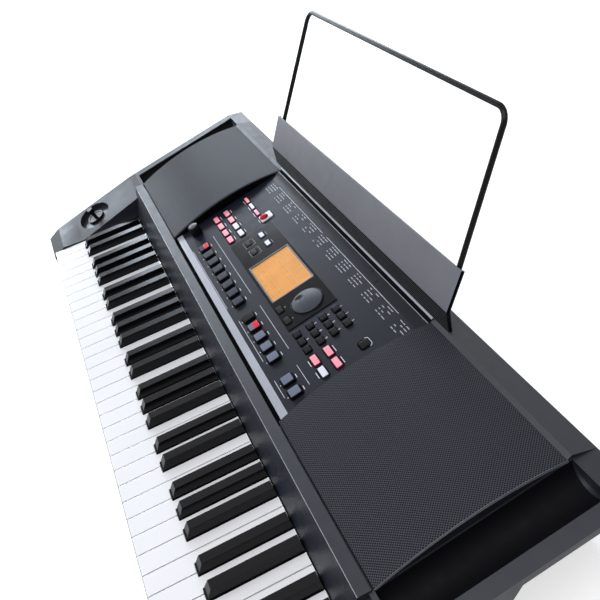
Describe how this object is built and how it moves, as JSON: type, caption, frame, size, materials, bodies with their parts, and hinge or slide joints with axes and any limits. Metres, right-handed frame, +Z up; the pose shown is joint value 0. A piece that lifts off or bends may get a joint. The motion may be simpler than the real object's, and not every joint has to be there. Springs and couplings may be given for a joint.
{
  "type": "arranger keyboard",
  "caption": "Wide arranger keyboard with piano-style keys, sloping control panel with amber display, speaker pods under grilles, thumb joystick and a raised wire music rest",
  "frame": {"origin": "On the floor under the middle of the overall box, raised music rest included", "axes": "+X runs to the player's right along the keys, +Y from the player to the back, +Z up"},
  "size_m": [0.93, 0.4562, 0.3268],
  "materials": {
    "case_plastic": "fine textured charcoal",
    "base_plastic": "black textured",
    "rubber": "matt black",
    "screw_steel": "zinc plated",
    "circuit_board": "green lacquer",
    "inner_plastic": "moulded grey",
    "felt": "red felt",
    "grille_metal": "perforated, painted dark grey",
    "speaker_metal": "pressed steel, black",
    "cone_paper": "black paper",
    "panel_plastic": "satin charcoal",
    "gloss_black": "polished black",
    "window_glass": "clear",
    "amber_display": "lit amber",
    "wheel_plastic": "semi-gloss dark grey",
    "rest_dark": "finely ribbed, dark",
    "rest_grey": "satin grey",
    "wire_black": "gloss black enamel",
    "white_key": "polished off-white",
    "black_key": "polished black",
    "pink_button": "translucent pink",
    "white_button": "satin white",
    "black_button": "satin black",
    "grey_button": "satin grey",
    "red_button": "satin red"
  },
  "bodies": {
    "case": {"top_case": "case_plastic", "bottom_case": "base_plastic", "rubber_feet": "rubber", "case_screws": "screw_steel", "main_board": "circuit_board", "rear_jacks": "base_plastic", "dc_inlet": "base_plastic", "key_chassis": "inner_plastic", "key_felt_strip": "felt", "key_contact_board": "circuit_board", "rubber_contact_strip": "rubber", "left_speaker_grille": "grille_metal", "right_speaker_grille": "grille_metal", "speaker_frames": "speaker_metal", "speaker_cones": "cone_paper", "control_panel": "panel_plastic", "panel_board": "circuit_board", "display_bezel": "gloss_black", "display_window": "window_glass", "lcd_module": "amber_display", "joystick_housing": "base_plastic"},
    "keys_c": {"keys_c": "white_key"},
    "keys_d": {"keys_d": "white_key"},
    "keys_e": {"keys_e": "white_key"},
    "keys_f": {"keys_f": "white_key"},
    "keys_g": {"keys_g": "white_key"},
    "keys_a": {"keys_a": "white_key"},
    "keys_b": {"keys_b": "white_key"},
    "keys_c_sharp": {"keys_c_sharp": "black_key"},
    "keys_d_sharp": {"keys_d_sharp": "black_key"},
    "keys_f_sharp": {"keys_f_sharp": "black_key"},
    "keys_g_sharp": {"keys_g_sharp": "black_key"},
    "keys_a_sharp": {"keys_a_sharp": "black_key"},
    "bank_buttons_front": {"bank_buttons_front": "pink_button"},
    "bank_buttons_rear": {"bank_buttons_rear": "pink_button"},
    "bank_buttons_white": {"bank_buttons_white": "white_button"},
    "mode_buttons_pink": {"mode_buttons_pink": "pink_button"},
    "mode_button_white": {"mode_button_white": "white_button"},
    "record_button": {"record_button": "white_button"},
    "select_buttons_white": {"select_buttons_white": "white_button"},
    "select_buttons_black": {"select_buttons_black": "black_button"},
    "page_buttons": {"page_buttons": "black_button"},
    "start_button": {"start_button": "grey_button"},
    "style_buttons": {"style_buttons": "grey_button"},
    "pad_button_black": {"pad_button_black": "black_button"},
    "pad_button_red": {"pad_button_red": "red_button"},
    "pad_buttons_grey": {"pad_buttons_grey": "grey_button"},
    "transpose_buttons": {"transpose_buttons": "grey_button"},
    "number_buttons": {"number_buttons": "black_button"},
    "memory_buttons_pink": {"memory_buttons_pink": "pink_button"},
    "memory_button_white": {"memory_button_white": "white_button"},
    "power_button": {"power_button": "black_button"},
    "data_wheel": {"data_wheel": "wheel_plastic"},
    "volume_knob": {"volume_knob": "wheel_plastic"},
    "joystick_gimbal": {"joystick_gimbal": "inner_plastic"},
    "joystick_stick": {"joystick_stick": "gloss_black"},
    "music_rest": {"rest_base": "rest_dark", "rest_wire": "wire_black", "rest_plate": "rest_grey"},
    "battery_cover": {"battery_cover": "base_plastic"}
  },
  "joints": [
    {"name": "keys_c_pivot", "type": "hinge", "parent": "case", "child": "keys_c", "pos_m": [0, -0.0236, 0.042], "axis": [1, 0, 0], "range_deg": [0, 2.86], "stiffness_Nm_per_rad": 8, "springref_deg": -4.3},
    {"name": "keys_d_pivot", "type": "hinge", "parent": "case", "child": "keys_d", "pos_m": [0, -0.0236, 0.042], "axis": [1, 0, 0], "range_deg": [0, 2.86], "stiffness_Nm_per_rad": 8, "springref_deg": -4.3},
    {"name": "keys_e_pivot", "type": "hinge", "parent": "case", "child": "keys_e", "pos_m": [0, -0.0236, 0.042], "axis": [1, 0, 0], "range_deg": [0, 2.86], "stiffness_Nm_per_rad": 8, "springref_deg": -4.3},
    {"name": "keys_f_pivot", "type": "hinge", "parent": "case", "child": "keys_f", "pos_m": [0, -0.0236, 0.042], "axis": [1, 0, 0], "range_deg": [0, 2.86], "stiffness_Nm_per_rad": 8, "springref_deg": -4.3},
    {"name": "keys_g_pivot", "type": "hinge", "parent": "case", "child": "keys_g", "pos_m": [0, -0.0236, 0.042], "axis": [1, 0, 0], "range_deg": [0, 2.86], "stiffness_Nm_per_rad": 8, "springref_deg": -4.3},
    {"name": "keys_a_pivot", "type": "hinge", "parent": "case", "child": "keys_a", "pos_m": [0, -0.0236, 0.042], "axis": [1, 0, 0], "range_deg": [0, 2.86], "stiffness_Nm_per_rad": 8, "springref_deg": -4.3},
    {"name": "keys_b_pivot", "type": "hinge", "parent": "case", "child": "keys_b", "pos_m": [0, -0.0236, 0.042], "axis": [1, 0, 0], "range_deg": [0, 2.86], "stiffness_Nm_per_rad": 8, "springref_deg": -4.3},
    {"name": "keys_c_sharp_pivot", "type": "hinge", "parent": "case", "child": "keys_c_sharp", "pos_m": [0, -0.0236, 0.042], "axis": [1, 0, 0], "range_deg": [0, 2.86], "stiffness_Nm_per_rad": 8, "springref_deg": -4.3},
    {"name": "keys_d_sharp_pivot", "type": "hinge", "parent": "case", "child": "keys_d_sharp", "pos_m": [0, -0.0236, 0.042], "axis": [1, 0, 0], "range_deg": [0, 2.86], "stiffness_Nm_per_rad": 8, "springref_deg": -4.3},
    {"name": "keys_f_sharp_pivot", "type": "hinge", "parent": "case", "child": "keys_f_sharp", "pos_m": [0, -0.0236, 0.042], "axis": [1, 0, 0], "range_deg": [0, 2.86], "stiffness_Nm_per_rad": 8, "springref_deg": -4.3},
    {"name": "keys_g_sharp_pivot", "type": "hinge", "parent": "case", "child": "keys_g_sharp", "pos_m": [0, -0.0236, 0.042], "axis": [1, 0, 0], "range_deg": [0, 2.86], "stiffness_Nm_per_rad": 8, "springref_deg": -4.3},
    {"name": "keys_a_sharp_pivot", "type": "hinge", "parent": "case", "child": "keys_a_sharp", "pos_m": [0, -0.0236, 0.042], "axis": [1, 0, 0], "range_deg": [0, 2.86], "stiffness_Nm_per_rad": 8, "springref_deg": -4.3},
    {"name": "bank_buttons_front_press", "type": "slide", "parent": "case", "child": "bank_buttons_front", "axis": [0, 0.2021, -0.9794], "range_m": [0, 0.0015], "stiffness_N_per_m": 400, "springref_m": -0.003},
    {"name": "bank_buttons_rear_press", "type": "slide", "parent": "case", "child": "bank_buttons_rear", "axis": [0, 0.2021, -0.9794], "range_m": [0, 0.0015], "stiffness_N_per_m": 400, "springref_m": -0.003},
    {"name": "bank_buttons_white_press", "type": "slide", "parent": "case", "child": "bank_buttons_white", "axis": [0, 0.2021, -0.9794], "range_m": [0, 0.0015], "stiffness_N_per_m": 400, "springref_m": -0.003},
    {"name": "mode_buttons_pink_press", "type": "slide", "parent": "case", "child": "mode_buttons_pink", "axis": [0, 0.2021, -0.9794], "range_m": [0, 0.0015], "stiffness_N_per_m": 400, "springref_m": -0.003},
    {"name": "mode_button_white_press", "type": "slide", "parent": "case", "child": "mode_button_white", "axis": [0, 0.2021, -0.9794], "range_m": [0, 0.0015], "stiffness_N_per_m": 400, "springref_m": -0.003},
    {"name": "record_button_press", "type": "slide", "parent": "case", "child": "record_button", "axis": [0, 0.2021, -0.9794], "range_m": [0, 0.0015], "stiffness_N_per_m": 400, "springref_m": -0.003},
    {"name": "select_buttons_white_press", "type": "slide", "parent": "case", "child": "select_buttons_white", "axis": [0, 0.2021, -0.9794], "range_m": [0, 0.0015], "stiffness_N_per_m": 400, "springref_m": -0.003},
    {"name": "select_buttons_black_press", "type": "slide", "parent": "case", "child": "select_buttons_black", "axis": [0, 0.2021, -0.9794], "range_m": [0, 0.0015], "stiffness_N_per_m": 400, "springref_m": -0.003},
    {"name": "page_buttons_press", "type": "slide", "parent": "case", "child": "page_buttons", "axis": [0, 0.2021, -0.9794], "range_m": [0, 0.0015], "stiffness_N_per_m": 400, "springref_m": -0.003},
    {"name": "start_button_press", "type": "slide", "parent": "case", "child": "start_button", "axis": [0, 0.2021, -0.9794], "range_m": [0, 0.0015], "stiffness_N_per_m": 400, "springref_m": -0.003},
    {"name": "style_buttons_press", "type": "slide", "parent": "case", "child": "style_buttons", "axis": [0, 0.2021, -0.9794], "range_m": [0, 0.0015], "stiffness_N_per_m": 400, "springref_m": -0.003},
    {"name": "pad_button_black_press", "type": "slide", "parent": "case", "child": "pad_button_black", "axis": [0, 0.2021, -0.9794], "range_m": [0, 0.0015], "stiffness_N_per_m": 400, "springref_m": -0.003},
    {"name": "pad_button_red_press", "type": "slide", "parent": "case", "child": "pad_button_red", "axis": [0, 0.2021, -0.9794], "range_m": [0, 0.0015], "stiffness_N_per_m": 400, "springref_m": -0.003},
    {"name": "pad_buttons_grey_press", "type": "slide", "parent": "case", "child": "pad_buttons_grey", "axis": [0, 0.2021, -0.9794], "range_m": [0, 0.0015], "stiffness_N_per_m": 400, "springref_m": -0.003},
    {"name": "transpose_buttons_press", "type": "slide", "parent": "case", "child": "transpose_buttons", "axis": [0, 0.2021, -0.9794], "range_m": [0, 0.0015], "stiffness_N_per_m": 400, "springref_m": -0.003},
    {"name": "number_buttons_press", "type": "slide", "parent": "case", "child": "number_buttons", "axis": [0, 0.2021, -0.9794], "range_m": [0, 0.0015], "stiffness_N_per_m": 400, "springref_m": -0.003},
    {"name": "memory_buttons_pink_press", "type": "slide", "parent": "case", "child": "memory_buttons_pink", "axis": [0, 0.2021, -0.9794], "range_m": [0, 0.0015], "stiffness_N_per_m": 400, "springref_m": -0.003},
    {"name": "memory_button_white_press", "type": "slide", "parent": "case", "child": "memory_button_white", "axis": [0, 0.2021, -0.9794], "range_m": [0, 0.0015], "stiffness_N_per_m": 400, "springref_m": -0.003},
    {"name": "power_button_press", "type": "slide", "parent": "case", "child": "power_button", "axis": [0, 0.2021, -0.9794], "range_m": [0, 0.0015], "stiffness_N_per_m": 400, "springref_m": -0.003},
    {"name": "data_wheel_spin", "type": "hinge", "parent": "case", "child": "data_wheel", "pos_m": [0.0738, 0.04695, 0.1131], "axis": [0, -0.2021, 0.9794], "continuous": true},
    {"name": "volume_knob_turn", "type": "hinge", "parent": "case", "child": "volume_knob", "pos_m": [-0.187, -0.01622, 0.10006], "axis": [0, -0.2021, 0.9794], "range_deg": [-150, 150]},
    {"name": "joystick_forward", "type": "hinge", "parent": "case", "child": "joystick_gimbal", "pos_m": [-0.4325, -0.13839, 0.05431], "axis": [1, 0, 0], "range_deg": [-18, 18], "stiffness_Nm_per_rad": 0.2},
    {"name": "joystick_sideways", "type": "hinge", "parent": "joystick_gimbal", "child": "joystick_stick", "pos_m": [-0.4325, -0.13839, 0.05431], "axis": [0, 0.9613, 0.2756], "range_deg": [-18, 18], "stiffness_Nm_per_rad": 0.2},
    {"name": "music_rest_lift", "type": "slide", "parent": "case", "child": "music_rest", "axis": [0, 0, 1], "range_m": [0, 0.03]},
    {"name": "battery_cover_slide", "type": "slide", "parent": "case", "child": "battery_cover", "axis": [0, 1, 0], "range_m": [0, 0.012]}
  ]
}
